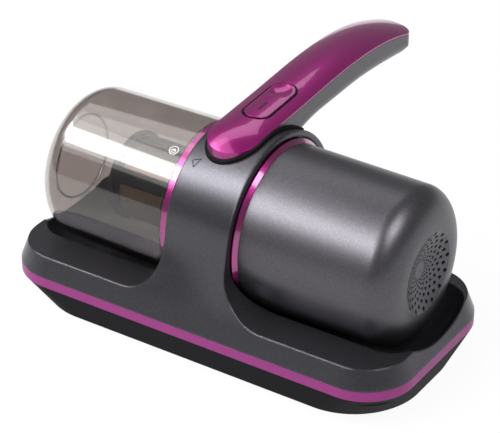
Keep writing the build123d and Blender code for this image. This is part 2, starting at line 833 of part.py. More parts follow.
def cup_profile(inset):
    """Half outline of the cup from its mouth to the middle of its end."""
    x_end = cup_end_x + inset
    centre_x = cup_end_x + cup_shoulder_length
    centre_r = cup_radius - cup_shoulder_depth
    shoulder = EllipticalCenterArc((centre_x, centre_r), cup_shoulder_length - inset,
                                   cup_shoulder_depth - inset, start_angle=90, arc_size=90)
    wall = Line((cup_mouth_x, cup_mouth_radius - inset), (centre_x, cup_radius - inset))
    end = Polyline((x_end, centre_r), (x_end, 0), (cup_mouth_x, 0), (cup_mouth_x, cup_mouth_radius - inset))
    return [wall, shoulder, end]


def dust_cup():
    """Clear cup with a spigot and lugs at its mouth."""
    cup = turned(cup_profile(0)) - turned(cup_profile(cup_wall))
    cup += tube_x(cup_spigot_radius, cup_spigot_radius - cup_wall, cup_mouth_x - 3, cup_spigot_x)
    cup += tube_x(cup_mouth_radius - 1, cup_spigot_radius - 0.5, cup_mouth_x - 2, cup_mouth_x)
    cup -= tube_x(cup_seam_radius + 0.5, cup_seam_radius - 0.5, cup_end_x + cup_wall - 0.6,
                  cup_end_x + cup_wall + 1)
    for k in range(lug_count):
        middle = 360 / lug_count * k
        cup += sector(cup_spigot_radius - 0.3, cup_spigot_radius + lug_height, middle - lug_angle / 2,
                      middle + lug_angle / 2, left_ring_x0 + 1.2, left_ring_x1 - moving_gap)
    return cup


def filter_window_cuts():
    """Windows through the filter cage."""
    cut = None
    x0 = filter_flange_x + filter_flange_thickness + 3
    x1 = filter_mouth_x - 6
    arc = 360 / filter_windows
    bar_angle = filter_bar / filter_radius * 180 / 3.14159
    for k in range(filter_windows):
        a0 = filter_turn + k * arc + bar_angle / 2
        wedge = sector(filter_radius - 4, filter_radius + 2, a0, a0 + arc - bar_angle, x0, x1)
        cut = wedge if cut is None else cut + wedge
    return cut


def filter_cage():
    """Black frame that carries the mesh."""
    cage = tube_x(filter_radius, filter_radius - 1.4, filter_flange_x + filter_flange_thickness,
                  filter_mouth_x)
    cage -= filter_window_cuts()
    cage += tube_x(filter_radius - 0.5, spigot_radius + moving_gap, filter_mouth_x - 3, filter_mouth_x)
    return cage


def filter_mesh():
    """Fine metal mesh sleeve inside the cage."""
    x0 = filter_flange_x + filter_flange_thickness
    return tube_x(filter_radius - 1.4, filter_radius - 1.8, x0, filter_mouth_x - 3)


def filter_element():
    """Pleated filter inside the mesh."""
    x0 = filter_flange_x + filter_flange_thickness
    x1 = filter_mouth_x - spigot_length - 1.2
    outer = filter_radius - 2.2
    inner = filter_radius - 7.5
    points = []
    for i in range(2 * pleats):
        r = outer if i % 2 == 0 else outer - 3.2
        a = radians(180 / pleats * i)
        points.append((r * cos(a), r * sin(a)))
    star = Plane.YZ.offset(x0) * make_face(Polyline(*points, close=True))
    body = Pos(0, 0, axis_z) * extrude(star, x1 - x0)
    return body - bar_x(inner, x0 + 2, x1 + 1, 0, axis_z)


def filter_flange():
    """End cap of the filter."""
    x0 = filter_flange_x
    cap = bar_x(filter_flange_radius, x0, x0 + filter_flange_thickness, 0, axis_z)
    cap = fillet(cap.edges().filter_by(GeomType.CIRCLE).sort_by(Axis.X)[0], 1.2)
    cap -= bar_x(filter_flange_radius - 4, x0 - 1, x0 + 1.2, 0, axis_z)
    return cap


# ---------- fan and motor housing ----------
def housing_profile(inset):
    """Half outline of the motor housing from its mouth to the grille opening."""
    centre_x = housing_end_x - housing_shoulder_length
    centre_r = housing_radius - housing_shoulder_depth
    shoulder = EllipticalCenterArc((centre_x, centre_r), housing_shoulder_length - inset,
                                   housing_shoulder_depth - inset, start_angle=90, arc_size=-90)
    mouth_x = right_ring_x + inset
    wall = Polyline((housing_neck_x, housing_neck_radius - inset), (mouth_x, housing_neck_radius - inset),
                    (mouth_x, housing_mouth_radius - inset), (centre_x, housing_radius - inset))
    end = Polyline((housing_end_x - inset, centre_r), (housing_end_x - inset, 0), (housing_neck_x, 0),
                   (housing_neck_x, housing_neck_radius - inset))
    return [wall, shoulder, end]


def motor_housing():
    """Canister with a rounded end and a seat for the grille."""
    shell = turned(housing_profile(0)) - turned(housing_profile(housing_wall))
    shell -= bar_x(housing_neck_radius - housing_wall, housing_neck_x - 1, housing_neck_x + 4, 0, axis_z)
    shell -= bar_x(grille_radius + grille_gap, grille_x - grille_thickness, grille_x + 5, 0, axis_z)
    shell -= bar_x(grille_radius - 1.6, foam_x0, grille_x + 5, 0, axis_z)
    seat_x = grille_x - grille_thickness
    shell += tube_x(grille_radius + 2.0, grille_radius - 1.6, seat_x - 1.6, seat_x)
    shell += tube_x(grille_radius + 2.0, grille_radius + 0.6, foam_x0, seat_x)
    return shell


def dish_arc(rim_x):
    """Arc of a dished face from its middle to its rim, as (x, radius)."""
    ball = (grille_dish_radius ** 2 + grille_dish_depth ** 2) / (2 * grille_dish_depth)
    half = grille_dish_radius / 2
    half_x = rim_x - grille_dish_depth + ball - sqrt(ball ** 2 - half ** 2)
    return ThreePointArc((rim_x - grille_dish_depth, 0), (half_x, half), (rim_x, grille_dish_radius))


def exhaust_grille():
    """Dished disc with winding rows of round holes that grow outwards."""
    x0 = grille_x - grille_thickness
    rim = Polyline((grille_x, grille_dish_radius), (grille_x, grille_radius), (x0, grille_radius),
                   (x0, grille_dish_radius))
    middle = Line((x0 - grille_dish_depth, 0), (grille_x - grille_dish_depth, 0))
    disc = turned([dish_arc(grille_x), rim, dish_arc(x0), middle])
    holes = []
    for ring in range(grille_rings):
        share = ring / (grille_rings - 1)
        r = grille_first_radius + (grille_last_radius - grille_first_radius) * share ** 1.3
        hole = grille_first_hole + (grille_last_hole - grille_first_hole) * share
        for i in range(grille_holes_per_ring):
            a = radians(360 / grille_holes_per_ring * (i + 0.5 * ring))
            holes.append(bar_x(hole, x0 - grille_dish_depth - 1, grille_x + 1,
                               r * cos(a), axis_z + r * sin(a)))
    return disc - holes


def exhaust_foam():
    """Foam disc behind the grille, dished to follow it."""
    radius = grille_radius + 0.3
    ledge_x = grille_x - grille_thickness - 1.8
    rim_x = grille_x - grille_thickness - 0.2
    side = Polyline((rim_x, grille_dish_radius), (ledge_x, grille_dish_radius), (ledge_x, radius),
                    (foam_x0, radius), (foam_x0, 0), (rim_x - grille_dish_depth, 0))
    return turned([dish_arc(rim_x), side])


def fan_cover():
    """Shroud round the impeller, sealed on the bulkhead."""
    cover = tube_x(fan_cover_radius, fan_inlet_radius, fan_cover_x0, fan_cover_x0 + 1.6)
    cover += tube_x(fan_cover_radius, fan_cover_radius - 1.6, fan_cover_x0, fan_motor_x0)
    for k in range(6):
        slot = sector(fan_cover_radius - 3, fan_cover_radius + 1, 60 * k + 15, 60 * k + 45,
                      fan_motor_x0 - 5, fan_motor_x0 - 1.5)
        cover -= slot
    return cover


def fan_seal():
    """Soft sleeve between the bulkhead and the fan cover."""
    return tube_x(spigot_radius + 4, spigot_radius - 1, bulkhead_x1, fan_cover_x0)


def impeller():
    """Fan wheel with nine curved blades and its shaft."""
    back = bar_x(fan_radius, fan_back_x, fan_back_x + 1.4, 0, axis_z)
    hub = bar_x(5.0, fan_back_x - 7, fan_back_x + 1.4, 0, axis_z)
    wheel_body = back + fillet(hub.edges().filter_by(GeomType.CIRCLE).sort_by(Axis.X)[0], 2.0)
    for k in range(9):
        blade = impeller_blade(360 / 9 * k)
        wheel_body += blade
    wheel_body += tube_x(fan_radius, fan_inlet_radius + 2, fan_back_x - 9.2, fan_back_x - 8.0)
    wheel_body += bar_x(fan_shaft_radius, fan_back_x - 8.6, fan_motor_x0 + fan_motor_length + 2, 0, axis_z)
    return wheel_body


def impeller_blade(angle):
    """One swept-back blade."""
    start = (fan_inlet_radius + 1.5, 0)
    middle = (fan_radius * 0.66, fan_radius * 0.16)
    end = (fan_radius * 0.86, fan_radius * 0.48)
    arc = ThreePointArc(start, middle, end)
    back = ThreePointArc((end[0] - 0.7, end[1] + 0.8), (middle[0] - 0.3, middle[1] + 1.0),
                         (start[0], start[1] + 1.0))
    face = make_face([arc, Line(arc @ 1, back @ 0), back, Line(back @ 1, arc @ 0)])
    blade = extrude(Plane.YZ.offset(fan_back_x - 8.1) * (Rot(0, 0, angle) * face), 8.2)
    return Pos(0, 0, axis_z) * blade


def fan_motor():
    """Motor can with its mounting flange and rear boss."""
    x0 = fan_motor_x0
    body = bar_x(fan_motor_radius, x0, x0 + fan_motor_length, 0, axis_z)
    body = fillet(body.edges().filter_by(GeomType.CIRCLE).sort_by(Axis.X)[-1], 3.0)
    body += tube_x(fan_cover_radius, fan_motor_radius - 1, x0, x0 + 1.6)
    body -= bar_x(fan_shaft_radius + 0.05, x0 - 1, x0 + fan_motor_length + 1, 0, axis_z)
    for k in range(6):
        body -= sector(fan_motor_radius - 1.5, fan_motor_radius + 1, 60 * k, 60 * k + 30,
                       x0 + 12, x0 + 26)
    return body


def motor_mount():
    """Rubber ring round the back of the motor."""
    x0 = fan_motor_x0 + fan_motor_length - 11
    return tube_x(fan_motor_radius + 3, fan_motor_radius, x0, x0 + 6)


def motor_spider():
    """Ring with four arms that centres the motor in the housing."""
    x0 = fan_motor_x0 + fan_motor_length - 11
    x1 = x0 + 6
    ring = tube_x(fan_motor_radius + 5, fan_motor_radius + 3, x0, x1)
    reach = housing_inner_radius(x1) - 0.1
    for k in range(4):
        a = 90 * k + 45
        arm = block(x0, x1, -1.5, 1.5, fan_motor_radius + 4.5, reach)
        ring += Pos(0, 0, axis_z) * Rot(a, 0, 0) * arm
    return ring


def housing_inner_radius(x):
    """Inner radius of the housing's gently tapered wall."""
    centre_x = housing_end_x - housing_shoulder_length
    share = (x - right_ring_x) / (centre_x - right_ring_x)
    return housing_mouth_radius + (housing_radius - housing_mouth_radius) * share - housing_wall


# ---------- handle ----------
def parting_line():
    """Side view of the joint between cover and lower shell, as (y, z)."""
    return [(handle_front_y - 2, axis_z + 41.8), (-12, axis_z + 50.6), (3, axis_z + 52.6),
            (36, axis_z + 54.5), (72, axis_z + 56.9), (98, axis_z + 57.1), (126, axis_z + 54.6),
            (handle_back_y + 3, axis_z + 45.2)]


def parting_spline():
    """Joint line as a curve in the plane across the handle's middle."""
    return Plane.YZ.offset(handle_x) * Spline(*parting_line())


def plan_form(inset, z0, z1, front=None):
    """Handle outline seen from above, as an upright block."""
    w = handle_half_width - inset
    y0 = handle_front_y + inset
    y1 = handle_back_y - inset
    r = max(handle_back_corner - inset, 1.0)
    nose = ThreePointArc((-w, y0 + w), (0, y0), (w, y0 + w))
    right_side = Line((w, y0 + w), (w, y1 - r))
    right_corner = ThreePointArc((w, y1 - r), (w - r * (1 - sqrt(0.5)), y1 - r * (1 - sqrt(0.5))),
                                 (w - r, y1))
    back = Line((w - r, y1), (r - w, y1))
    left_corner = ThreePointArc((r - w, y1), (r * (1 - sqrt(0.5)) - w, y1 - r * (1 - sqrt(0.5))),
                                (-w, y1 - r))
    left_side = Line((-w, y1 - r), (-w, y0 + w))
    face = make_face([nose, right_side, right_corner, back, left_corner, left_side])
    return Pos(handle_x, 0, z0) * extrude(face, z1 - z0)


def above_parting(raise_by, height):
    """Slab above the parting line, as wide as the whole object."""
    pts = [(y, z + raise_by) for y, z in parting_line()]
    y_first = pts[0][0]
    y_last = pts[-1][0]
    top = axis_z + height
    lines = Polyline(pts[-1], (y_last, top), (y_first, top), pts[0])
    face = make_face([Spline(*pts), lines])
    return extrude(Plane.YZ.offset(handle_x) * face, 40, both=True)


def crown_form(inset):
    """Crowned bar swept along the joint line."""
    path = parting_spline()
    w = handle_half_width - inset
    h = crown_height - inset
    side = Line((w, -2), (w, cover_lip))
    over = ThreePointArc((w, cover_lip), (0, h), (-w, cover_lip))
    rest = Polyline((-w, cover_lip), (-w, -2), (w, -2))
    face = make_face([side, over, rest])
    start = path @ 0
    plane = Plane(origin=start, x_dir=(1, 0, 0), z_dir=path % 0)
    flip = plane.y_dir.Z < 0
    if flip:
        plane = Plane(origin=start, x_dir=(-1, 0, 0), z_dir=path % 0)
    return sweep(plane * face, path=path)


def collar_block(grow):
    """Collar's outer form without its feet, for seating the handle."""
    ends = []
    for x in (collar_left_x - 6, collar_right_x + 6):
        ends.append(Plane.YZ.offset(x) * Pos(0, axis_z) * Circle(collar_radius_at(x) + grow))
    return loft(ends, ruled=True)


def collar_radius_at(x):
    """Radius of the collar's cone."""
    share = (x - collar_left_x) / (collar_right_x - collar_left_x)
    return collar_left_radius + (collar_right_radius - collar_left_radius) * share


def handle_cover():
    """Crowned upper cover, hollow underneath."""
    z0 = axis_z + 30
    z1 = axis_z + 80
    outer = crown_form(0) & plan_form(0, z0, z1) & above_parting(0, 90)
    inner = crown_form(handle_wall) & plan_form(handle_wall, z0, z1)
    cover = outer - inner
    cover -= collar_block(gasket_thickness)
    cover -= button_prism(bezel_width + button_gap, z0, z1)
    return cover


def lower_bottom_line():
    """Side view of the lower shell's underside."""
    return [(-30, axis_z + 29.0), (24, axis_z + 33.2), (40, axis_z + 37.8), (70, axis_z + 40.1),
            (95, axis_z + 40.7), (122, axis_z + 39.2), (141, axis_z + 37.2)]


def lower_side_face(inset):
    """Side view of the lower shell."""
    low = [(y, z + inset) for y, z in lower_bottom_line()]
    top = [(y, z - (0 if inset == 0 else -5)) for y, z in parting_line()]
    low_curve = Spline(*low)
    top_curve = Spline(*top)
    back_low = Line(low[-1], (low[-1][0] + handle_slant, top[-1][1] - 1.5))
    tail = Line(back_low @ 1, top[-1])
    front = Line(top[0], low[0])
    return make_face([low_curve, back_low, tail, top_curve, front])


def lower_form(inset, round_radius):
    """Handle's lower part as a solid bar with rounded lower edges."""
    w = handle_half_width - inset
    bar = extrude(Plane.YZ.offset(handle_x) * lower_side_face(inset), w, both=True)
    low_edges = [e for e in bar.edges() if e.center().Z < axis_z + 43 and e.length > 60
                 and abs(e.center().X - handle_x) > w - 0.1]
    return fillet(low_edges, round_radius)


def handle_lower_shell():
    """Lower shell of the handle, seated on the collar."""
    outer = lower_form(0, lower_round) & plan_form(0, axis_z, axis_z + 80)
    inner = lower_form(handle_wall, lower_round - handle_wall) & plan_form(handle_wall, axis_z, axis_z + 80)
    shell = outer - (inner - collar_block(gasket_thickness + handle_wall))
    shell -= collar_block(gasket_thickness)
    shell -= above_parting(-seam, 90)
    for y in handle_boss_y:
        post = bar_z(3.0, axis_z + 34, axis_z + 53.5, handle_x, y) & outer
        shell += post - collar_block(gasket_thickness)
        shell -= bar_z(handle_screw_radius + 0.05, axis_z + 30, axis_z + 70, handle_x, y)
    return shell


def handle_gasket():
    """Thin black pad between the handle and the collar."""
    pad = collar_block(gasket_thickness) - collar_block(0)
    shape = plan_form(-gasket_margin, axis_z, axis_z + 80)
    limit = block(-60, 60, -60, gasket_back_y, axis_z + 30, axis_z + 80)
    pad = (pad & shape & limit) - bar_z(4.0, axis_z, axis_z + 80, handle_x, gasket_hole_y)
    for y in handle_boss_y:
        pad -= bar_z(handle_screw_radius + seam, axis_z, axis_z + 80, handle_x, y)
    return pad


def button_prism(grow, z0, z1):
    """Button outline as an upright block."""
    w = button_half_width + grow
    face = SlotCenterToCenter(2 * (button_half_length - button_half_width), 2 * w, rotation=90)
    return Pos(handle_x, button_y, z0) * extrude(face, z1 - z0)


def button_bezel():
    """Black ring round the button."""
    z0 = axis_z + 30
    z1 = axis_z + 80
    ring = button_prism(bezel_width + button_gap - 0.02, z0, z1) - button_prism(button_gap, z0 - 1, z1 + 1)
    return ring & crown_form(0.3) & above_parting(1.5, 90)


def power_button():
    """Crowned button with a finger dimple and a stem."""
    z0 = axis_z + 30
    z1 = axis_z + 80
    cap = button_prism(0, z0, z1) & crown_form(-0.35) & above_parting(2.4, 90)
    cap -= Pos(handle_x, button_y + dimple_back, dimple_bottom_z + dimple_radius) * Sphere(dimple_radius)
    stem = bar_z(2.2, switch_top_z + button_travel + 0.05, axis_z + 57.6, handle_x, board_switch_y)
    return cap + stem


def handle_board():
    """Switch board under the button."""
    return block(handle_x - 9, handle_x + 9, 24.5, 52, board_top_z - 1.6, board_top_z)


def button_switch():
    """Push switch on the board."""
    body = block(handle_x - 4, handle_x + 4, board_switch_y - 4, board_switch_y + 4, board_top_z,
                 board_top_z + 2.2)
    return body + bar_z(1.8, board_top_z + 2.2, switch_top_z, handle_x, board_switch_y)


# ---------- electronics and fasteners ----------
def battery_cells():
    """Two round cells end to end behind the lamp."""
    cells = []
    for side in (-1, 1):
        x0, x1 = sorted((side * cell_start_x, side * (cell_start_x + cell_length)))
        cell = bar_x(cell_radius, x0, x1, cell_y, cell_z)
        cells.append(fillet(cell.edges().filter_by(GeomType.CIRCLE), 0.6))
    return Compound(children=cells)


def battery_holder():
    """Cradles for the cells."""
    trays = []
    for side in (-1, 1):
        x0, x1 = sorted((side * (cell_start_x - 1.6), side * (cell_start_x + cell_length + 1.6)))
        tray = block(x0, x1, cell_y - cradle_half_width, cell_y + cradle_half_width, floor_top,
                     cell_z - 2.0)
        trays.append(tray - bar_x(cell_radius, x0 + 1.5, x1 - 1.5, cell_y, cell_z))
    return Compound(children=trays)


def main_board():
    """Control board standing behind the fan, on posts."""
    board = block(board_x0, board_x1, board_y, board_y + 1.6, board_z0, board_z0 + 26)
    for x, z, w, h in ((-9, 5, 8, 9), (2, 6, 6, 6), (-4, 17, 9, 5)):
        board += block(x, x + w, board_y - 2.5, board_y + 0.01, board_z0 + z, board_z0 + z + h)
    return board


def base_screws():
    """Countersunk screws that close the base from below."""
    screws = []
    for x, y in screw_places:
        z0 = skirt_bottom_z + 0.1
        body = bar_z(screw_head_radius, z0, z0 + screw_head_height, x, y)
        body += bar_z(screw_radius, z0 + screw_head_height, boss_top_z + screw_reach, x, y)
        body -= block(x - 1.8, x + 1.8, y - 0.35, y + 0.35, z0 - 1, z0 + 0.8)
        body -= block(x - 0.35, x + 0.35, y - 1.8, y + 1.8, z0 - 1, z0 + 0.8)
        screws.append(body)
    return Compound(children=screws)


def handle_screws():
    """Screws that hold the handle down on the collar."""
    screws = []
    for y in handle_boss_y:
        screws.append(bar_z(handle_screw_radius, axis_z + 40, axis_z + 53, handle_x, y))
    return Compound(children=screws)


MAKERS = (
    body_shell, trim_band, base_skirt, sole_plate, felt_strips, left_ring, right_ring, dust_cup,
    filter_cage, filter_mesh, filter_element, filter_flange, motor_housing, exhaust_grille,
    exhaust_foam, fan_cover, fan_seal, impeller, fan_motor, motor_mount, motor_spider, bulkhead,
    cup_seal, suction_duct, brush_chamber, roller_bushes, roller_shaft, brush_core, bristle_strips,
    drive_belt, brush_motor, motor_bracket, motor_pulley, lamp_window, lamp_reflector, lamp_tube,
    lamp_holders, wheel_axles, safety_plunger, safety_switch, switch_post, handle_cover,
    handle_lower_shell, handle_gasket, button_bezel, power_button, button_switch, handle_board,
    battery_cells, battery_holder, main_board, charging_jack, base_screws, handle_screws)


if __name__ == "__main__":
    os.makedirs("parts", exist_ok=True)
    nodes = {make.__name__: make() for make in MAKERS}
    nodes["wheel_left"] = wheel(-1)
    nodes["wheel_right"] = wheel(1)
    nodes["roller_pulley"] = pulley(roller_pulley_radius, roller_shaft_radius, brush_y, brush_z)
    for name, shape in nodes.items():
        export_step(shape, f"parts/{name}.step")
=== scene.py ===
import json
import math

import bmesh
import bpy
from mathutils import Matrix, Vector
from mathutils.bvhtree import BVHTree


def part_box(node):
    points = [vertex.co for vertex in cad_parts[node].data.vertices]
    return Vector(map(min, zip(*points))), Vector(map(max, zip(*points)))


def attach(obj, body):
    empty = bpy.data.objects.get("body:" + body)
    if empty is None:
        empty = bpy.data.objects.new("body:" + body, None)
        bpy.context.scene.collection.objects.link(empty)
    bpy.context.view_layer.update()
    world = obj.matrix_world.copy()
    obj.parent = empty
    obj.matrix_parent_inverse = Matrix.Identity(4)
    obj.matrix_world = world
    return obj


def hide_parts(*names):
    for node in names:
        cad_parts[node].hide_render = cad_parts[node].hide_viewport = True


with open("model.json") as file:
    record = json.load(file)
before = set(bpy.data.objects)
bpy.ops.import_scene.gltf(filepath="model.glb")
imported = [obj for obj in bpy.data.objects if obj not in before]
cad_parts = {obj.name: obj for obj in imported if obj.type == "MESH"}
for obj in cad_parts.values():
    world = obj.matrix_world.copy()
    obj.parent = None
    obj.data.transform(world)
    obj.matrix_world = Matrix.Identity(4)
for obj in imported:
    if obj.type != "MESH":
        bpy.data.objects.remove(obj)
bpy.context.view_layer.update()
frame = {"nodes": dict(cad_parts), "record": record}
nodes = frame["nodes"]

# ---------------------------------------------------------------- camera; lengths in metres
CAMERA_AZIMUTH = math.radians(33.158)
CAMERA_HEIGHT = math.radians(31.340)
CAMERA_DISTANCE = 1.27328
CAMERA_LENS = 162.85  # mm
SENSOR_WIDTH = 36.0  # mm
CAMERA_NEAR = 0.05
CAMERA_FAR = 60.0
AIM_RIGHT = 0.00008
AIM_UP = 0.05369

# ---------------------------------------------------------------- studio
LAMP_AIM = Vector((0, 0, 0.07))
# Each softbox: name, direction from the aim, distance, width, height, power in watts.
SOFTBOXES = [
    ("softbox_key", (-0.45, -0.44, 0.78), 1.0, 1.3, 0.90, 4.2),
    ("softbox_middle", (-0.46, -0.52, 0.72), 0.98, 1.25, 0.50, 4.6),
    ("softbox_strip", (-0.46, -0.55, 0.70), 0.96, 1.2, 0.28, 7.6),
    ("softbox_above", (-0.467, 0.33, 0.82), 1.1, 1.0, 0.42, 2.0),
    ("softbox_right", (0.62, -0.12, 0.78), 1.1, 0.62, 0.56, 7.0),
]
ROOM_STRENGTH = 0.22
FLOOR_REACH = 6.0
FLOOR_DROP = 0.0004
FLOOR_GREY = 0.86
FLOOR_ROUGHNESS = 0.9
FLOOR_WHITE_SHARE = 0.93

# ---------------------------------------------------------------- surface effects
FLECK_CONTRAST = 3.0
DRIFT_SCALE = 22.0
DRIFT_DETAIL = 3.0
GRAIN_HEIGHT = 0.0002
EDGE_SAMPLES = 4
POLISH_IOR = 1.6
POLISH_ROUGHNESS = 0.14

# ---------------------------------------------------------------- roller brush
BRISTLE_ROWS = 4
TUFTS_PER_ROW = 54
ROW_TURN = math.radians(150)
ROW_END_GAP = 0.002
ROOT_DEPTH = 0.0006
BRISTLE_TIP_SHARE = 0.6
BRISTLE_SIDES = 5
BRISTLE_LEAN = 0.10
BRISTLE_TWIST = 3.0
LEAN_SEED_STEP = 7.0

# ---------------------------------------------------------------- marks
AXIS_Z = (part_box("motor_housing")[0].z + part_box("motor_housing")[1].z) / 2
MARK_LIFT = 0.00008
MARK_STEP = 0.0005
MARK_START_HEIGHT = 0.03
POWER_LINE = [(0, -0.0042), (0, 0.0042)]
POWER_LINE_WIDTH = 0.0014
POWER_LINE_FROM_EDGE = 0.0125
BUTTON_SLOPE = 0.10
ARROW_CORNERS = [(-0.0026, 0.0010), (0.0022, 0.0030), (0.0001, -0.0028)]
ARROW_WIDTH = 0.00045
ARROW_X = -0.0172
ARROW_Y = -0.0262
ARROW_ABOVE_AXIS = 0.0385
ARROW_TURN = math.radians(37)
LOCK_DISC_RADIUS = 0.0026
LOCK_SHACKLE_RADIUS = 0.0008
LOCK_BODY = [(-0.0012, 0.0), (0.0012, 0.0), (0.0012, -0.0014), (-0.0012, -0.0014)]
LOCK_WIDTH = 0.00035
LOCK_X = -0.0344
LOCK_Y = -0.0217
LOCK_ABOVE_AXIS = 0.0384
LOCK_TURN = math.radians(29)
SEAM_RADIUS = 0.0247
SEAM_WIDTH = 0.0012


# ---------------------------------------------------------------- small helpers
def colour(red, green, blue):
    """Linear colour from screen values between 0 and 255."""
    def linear(value):
        value /= 255.0
        return value / 12.92 if value <= 0.04045 else ((value + 0.055) / 1.055) ** 2.4
    return (linear(red), linear(green), linear(blue), 1.0)


def new_object(name, mesh):
    """Object at the origin that carries the mesh."""
    piece = bpy.data.objects.new(name, mesh)
    bpy.context.scene.collection.objects.link(piece)
    return piece


def mesh_from(name, make):
    """Mesh filled by a function that draws into a bmesh."""
    bm = bmesh.new()
    make(bm)
    mesh = bpy.data.meshes.new(name)
    bm.to_mesh(mesh)
    bm.free()
    return mesh


# ---------------------------------------------------------------- shared surface effects
def group_tree(name, inputs, outputs):
    """Empty shader group with named sockets."""
    tree = bpy.data.node_groups.new(name, "ShaderNodeTree")
    for label, kind, default in inputs:
        socket = tree.interface.new_socket(label, in_out="INPUT", socket_type=kind)
        socket.default_value = default
    for label, kind in outputs:
        tree.interface.new_socket(label, in_out="OUTPUT", socket_type=kind)
    return tree, tree.nodes.new("NodeGroupInput"), tree.nodes.new("NodeGroupOutput")


def moulded_skin_group():
    """Moulded surface: softened edges, fine grain, flecks of colour and a slow drift of gloss."""
    inputs = [("Colour", "NodeSocketColor", (0.5, 0.5, 0.5, 1)),
              ("Fleck Colour", "NodeSocketColor", (0.8, 0.8, 0.8, 1)),
              ("Fleck Amount", "NodeSocketFloat", 0.0),
              ("Fleck Scale", "NodeSocketFloat", 2600.0),
              ("Roughness", "NodeSocketFloat", 0.4),
              ("Gloss Drift", "NodeSocketFloat", 0.05),
              ("Grain Scale", "NodeSocketFloat", 1500.0),
              ("Grain Depth", "NodeSocketFloat", 0.05),
              ("Edge Radius", "NodeSocketFloat", 0.0006)]
    outputs = [("Colour", "NodeSocketColor"), ("Roughness", "NodeSocketFloat"),
               ("Normal", "NodeSocketVector")]
    tree, given, result = group_tree("moulded_skin", inputs, outputs)
    add, link = tree.nodes.new, tree.links.new
    place = add("ShaderNodeTexCoord")

    # Flecks: one random value per cell of a fine foam pattern.
    cell = add("ShaderNodeTexVoronoi")
    cell.inputs["Randomness"].default_value = 1.0
    link(place.outputs["Object"], cell.inputs["Vector"])
    link(given.outputs["Fleck Scale"], cell.inputs["Scale"])
    fleck = add("ShaderNodeTexWhiteNoise")
    link(cell.outputs["Position"], fleck.inputs["Vector"])
    pick = add("ShaderNodeMath")
    pick.operation = "POWER"
    pick.inputs[1].default_value = FLECK_CONTRAST
    link(fleck.outputs["Value"], pick.inputs[0])
    amount = add("ShaderNodeMath")
    amount.operation = "MULTIPLY"
    link(pick.outputs[0], amount.inputs[0])
    link(given.outputs["Fleck Amount"], amount.inputs[1])
    blend = add("ShaderNodeMix")
    blend.data_type = "RGBA"
    link(amount.outputs[0], blend.inputs["Factor"])
    link(given.outputs["Colour"], blend.inputs[6])
    link(given.outputs["Fleck Colour"], blend.inputs[7])
    link(blend.outputs[2], result.inputs["Colour"])

    # Slow drift of the gloss about its mean.
    drift = add("ShaderNodeTexNoise")
    drift.inputs["Scale"].default_value = DRIFT_SCALE
    drift.inputs["Detail"].default_value = DRIFT_DETAIL
    link(place.outputs["Object"], drift.inputs["Vector"])
    centre = add("ShaderNodeMath")
    centre.operation = "SUBTRACT"
    centre.inputs[1].default_value = 0.5
    link(drift.outputs["Fac"], centre.inputs[0])
    scaled = add("ShaderNodeMath")
    scaled.operation = "MULTIPLY_ADD"
    link(centre.outputs[0], scaled.inputs[0])
    link(given.outputs["Gloss Drift"], scaled.inputs[1])
    link(given.outputs["Roughness"], scaled.inputs[2])
    link(scaled.outputs[0], result.inputs["Roughness"])

    # Softened edges, with the fine grain on top.
    edge = add("ShaderNodeBevel")
    edge.samples = EDGE_SAMPLES
    link(given.outputs["Edge Radius"], edge.inputs["Radius"])
    grain = add("ShaderNodeTexNoise")
    grain.inputs["Detail"].default_value = 1.0
    link(place.outputs["Object"], grain.inputs["Vector"])
    link(given.outputs["Grain Scale"], grain.inputs["Scale"])
    bump = add("ShaderNodeBump")
    bump.inputs["Distance"].default_value = GRAIN_HEIGHT
    link(given.outputs["Grain Depth"], bump.inputs["Strength"])
    link(grain.outputs["Fac"], bump.inputs["Height"])
    link(edge.outputs["Normal"], bump.inputs["Normal"])
    link(bump.outputs["Normal"], result.inputs["Normal"])
    return tree


MOULDED_SKIN = moulded_skin_group()


def plain_shader(name):
    """Material with one Principled shader, and with it its nodes, its links and the shader."""
    material = bpy.data.materials.new(name)
    material.use_nodes = True
    tree = material.node_tree
    return material, tree.nodes, tree.links, tree.nodes["Principled BSDF"]


def set_inputs(node, values):
    """Plain values on a node's inputs, by name."""
    for label, value in values.items():
        node.inputs[label].default_value = value


def moulded(name, base, roughness, metallic=0.0, specular=0.5,
            fleck=None, fleck_amount=0.0, fleck_scale=2600.0,
            grain=0.05, grain_scale=1500.0, drift=0.05, edge=0.0006,
            coat=0.0, coat_roughness=0.05, coat_ior=1.5):
    """Moulded or painted plastic, metal, felt or foam with the shared skin effect."""
    material, add, link, shader = plain_shader(name)
    skin = add.new("ShaderNodeGroup")
    skin.node_tree = MOULDED_SKIN
    set_inputs(skin, {
        "Colour": base, "Fleck Colour": fleck or base, "Fleck Amount": fleck_amount,
        "Fleck Scale": fleck_scale, "Roughness": roughness, "Gloss Drift": drift,
        "Grain Scale": grain_scale, "Grain Depth": grain, "Edge Radius": edge})
    link.new(skin.outputs["Colour"], shader.inputs["Base Color"])
    link.new(skin.outputs["Roughness"], shader.inputs["Roughness"])
    link.new(skin.outputs["Normal"], shader.inputs["Normal"])
    set_inputs(shader, {
        "Metallic": metallic, "Specular IOR Level": specular, "Coat Weight": coat,
        "Coat Roughness": coat_roughness, "Coat IOR": coat_ior})
    return material


def clear_plastic(name, tint, roughness=0.02, ior=1.49, coat=0.0):
    """Clear or smoked plastic wall; the coat adds the shine of a polished face."""
    material, _, _, shader = plain_shader(name)
    set_inputs(shader, {
        "Base Color": tint, "Roughness": roughness, "Transmission Weight": 1.0, "IOR": ior,
        "Specular IOR Level": 0.5 + coat / 2, "Coat Weight": coat, "Coat IOR": POLISH_IOR,
        "Coat Roughness": POLISH_ROUGHNESS})
    return material


